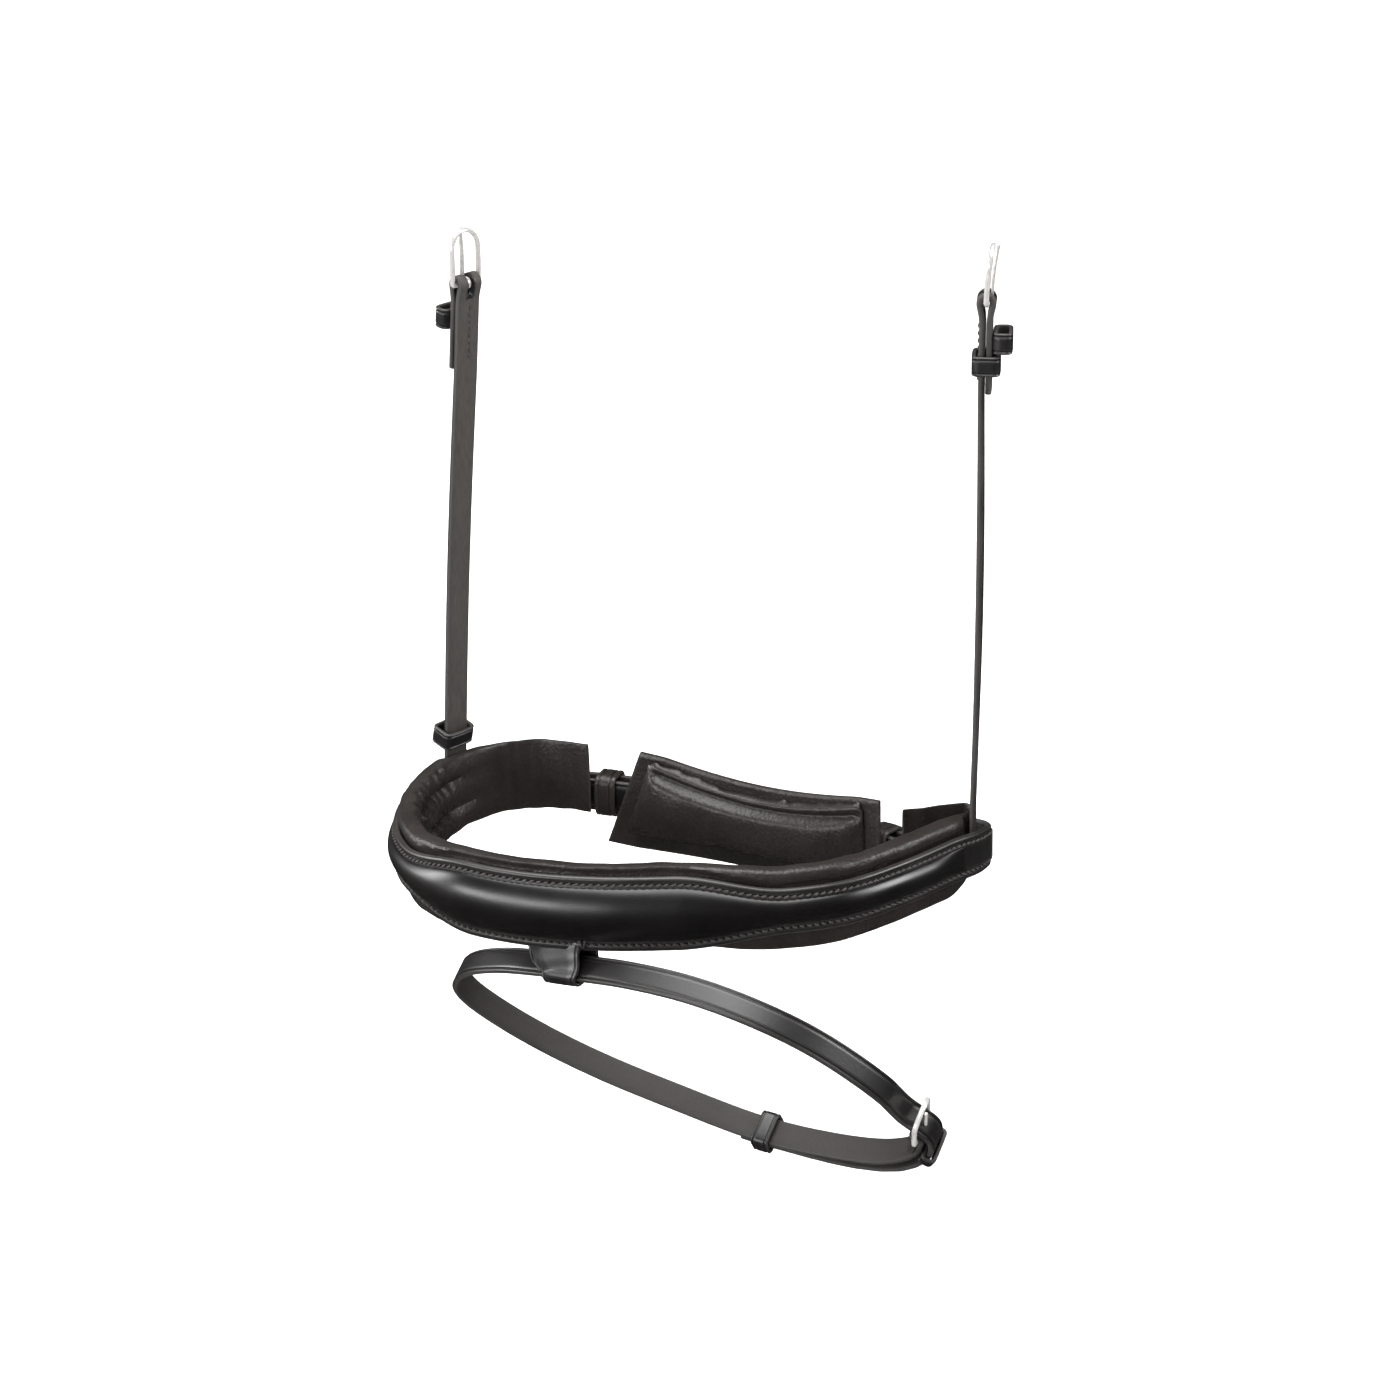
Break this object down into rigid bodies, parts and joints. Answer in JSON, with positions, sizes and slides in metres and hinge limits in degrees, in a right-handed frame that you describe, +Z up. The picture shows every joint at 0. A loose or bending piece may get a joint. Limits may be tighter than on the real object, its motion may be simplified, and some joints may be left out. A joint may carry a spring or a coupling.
{
  "type": "crank noseband with flash strap",
  "caption": "Padded black leather noseband with raised nosepiece, sliding jaw pad, buckled chin strap, flash strap on a front keeper and cheek straps ending in open buckles.",
  "frame": {"origin": "middle of the lining's face behind the nose bridge, where the piece rests on the horse's nose", "axes": "+Z up along the cheek straps, -Y towards the front of the nose, +X to the side of the flash buckle"},
  "size_m": [0.2662, 0.1739, 0.3984],
  "materials": {
    "smooth_leather": "polished black",
    "strap_leather": "satin black",
    "soft_leather": "matt pebbled black",
    "nickel": "bright nickel"
  },
  "bodies": {
    "noseband": {"nose_strap": "smooth_leather", "nose_raised_panel": "smooth_leather", "nose_pad": "soft_leather", "left_end_flap": "soft_leather", "right_end_flap": "soft_leather", "left_ring": "nickel", "right_ring": "nickel", "left_ring_chape": "strap_leather", "right_ring_chape": "strap_leather", "left_cheek_tab": "strap_leather", "right_cheek_tab": "strap_leather", "flash_keeper_tab": "strap_leather", "chin_strap": "strap_leather", "chin_fixed_keeper": "strap_leather"},
    "left_hanger": {"left_cheek_strap": "strap_leather", "left_fixed_keeper": "strap_leather"},
    "left_runner": {"left_runner": "strap_leather"},
    "left_buckle": {"left_buckle_frame": "nickel"},
    "left_tongue": {"left_buckle_tongue": "nickel"},
    "right_hanger": {"right_cheek_strap": "strap_leather", "right_fixed_keeper": "strap_leather"},
    "right_runner": {"right_runner": "strap_leather"},
    "right_buckle": {"right_buckle_frame": "nickel"},
    "right_tongue": {"right_buckle_tongue": "nickel"},
    "flash": {"flash_keeper": "strap_leather", "flash_strap": "strap_leather", "flash_fixed_keeper": "strap_leather"},
    "flash_buckle": {"flash_buckle_frame": "nickel"},
    "flash_tongue": {"flash_buckle_tongue": "nickel"},
    "flash_runner": {"flash_runner": "strap_leather"},
    "jaw_pad": {"jaw_pad_shell": "soft_leather", "jaw_pad_cushion": "soft_leather", "jaw_pad_left_keeper": "soft_leather", "jaw_pad_right_keeper": "soft_leather"},
    "chin_buckle": {"chin_buckle_frame": "nickel"},
    "chin_tongue": {"chin_buckle_tongue": "nickel"},
    "chin_runner": {"chin_runner": "strap_leather"}
  },
  "joints": [
    {"name": "left_cheek_swing", "type": "hinge", "parent": "noseband", "child": "left_hanger", "pos_m": [-0.10532, 0.09316, 0.019], "axis": [0.342, 0.9395, 0.0195], "range_deg": [-45, 45]},
    {"name": "left_runner_slide", "type": "slide", "parent": "left_hanger", "child": "left_runner", "axis": [0.1179, -0.0635, 0.991], "range_m": [0, 0.18]},
    {"name": "left_buckle_swing", "type": "hinge", "parent": "left_hanger", "child": "left_buckle", "pos_m": [-0.08093, 0.07978, 0.23573], "axis": [0.342, 0.9395, 0.0195], "range_deg": [-35, 60]},
    {"name": "left_tongue_lift", "type": "hinge", "parent": "left_buckle", "child": "left_tongue", "pos_m": [-0.08093, 0.07978, 0.23573], "axis": [0.342, 0.9395, 0.0195], "range_deg": [-80, 0]},
    {"name": "right_cheek_swing", "type": "hinge", "parent": "noseband", "child": "right_hanger", "pos_m": [0.13315, 0.11315, 0.019], "axis": [0.309, -0.951, 0.0053], "range_deg": [-45, 45]},
    {"name": "right_runner_slide", "type": "slide", "parent": "right_hanger", "child": "right_runner", "axis": [0.011, 0.0092, 0.9999], "range_m": [-0.18, 0]},
    {"name": "right_buckle_swing", "type": "hinge", "parent": "right_hanger", "child": "right_buckle", "pos_m": [0.13695, 0.1156, 0.23746], "axis": [0.309, -0.951, 0.0053], "range_deg": [-35, 60]},
    {"name": "right_tongue_lift", "type": "hinge", "parent": "right_buckle", "child": "right_tongue", "pos_m": [0.13695, 0.1156, 0.23746], "axis": [0.309, -0.951, 0.0053], "range_deg": [-80, 0]},
    {"name": "flash_swing", "type": "hinge", "parent": "noseband", "child": "flash", "pos_m": [-0.00044, -0.0093, -0.018], "axis": [0.9798, 0.1998, 0], "range_deg": [-30, 15]},
    {"name": "flash_buckle_swing", "type": "hinge", "parent": "flash", "child": "flash_buckle", "pos_m": [0.14334, 0.0239, -0.08989], "axis": [-0.086, -0.7852, -0.6132], "range_deg": [-2, 1.5]},
    {"name": "flash_tongue_lift", "type": "hinge", "parent": "flash_buckle", "child": "flash_tongue", "pos_m": [0.14334, 0.0239, -0.08989], "axis": [-0.086, -0.7852, -0.6132], "range_deg": [-4, 0]},
    {"name": "flash_runner_slide", "type": "slide", "parent": "flash", "child": "flash_runner", "axis": [-0.996, 0.0539, 0.0707], "range_m": [-0.0025, 0.003]},
    {"name": "jaw_pad_slide", "type": "hinge", "parent": "noseband", "child": "jaw_pad", "pos_m": [-0.01628, -0.27627, -0.012], "axis": [0, 0, 1], "range_deg": [-1, 0.6]},
    {"name": "chin_buckle_swing", "type": "hinge", "parent": "noseband", "child": "chin_buckle", "pos_m": [0.03433, 0.13594, -0.012], "axis": [0, 0, -1], "range_deg": [-2, 1.5]},
    {"name": "chin_tongue_lift", "type": "hinge", "parent": "chin_buckle", "child": "chin_tongue", "pos_m": [0.03433, 0.13594, -0.012], "axis": [0, 0, -1], "range_deg": [-4, 0]},
    {"name": "chin_runner_slide", "type": "slide", "parent": "noseband", "child": "chin_runner", "axis": [-0.9992, 0.04, 0], "range_m": [-0.003, 0.005]}
  ]
}
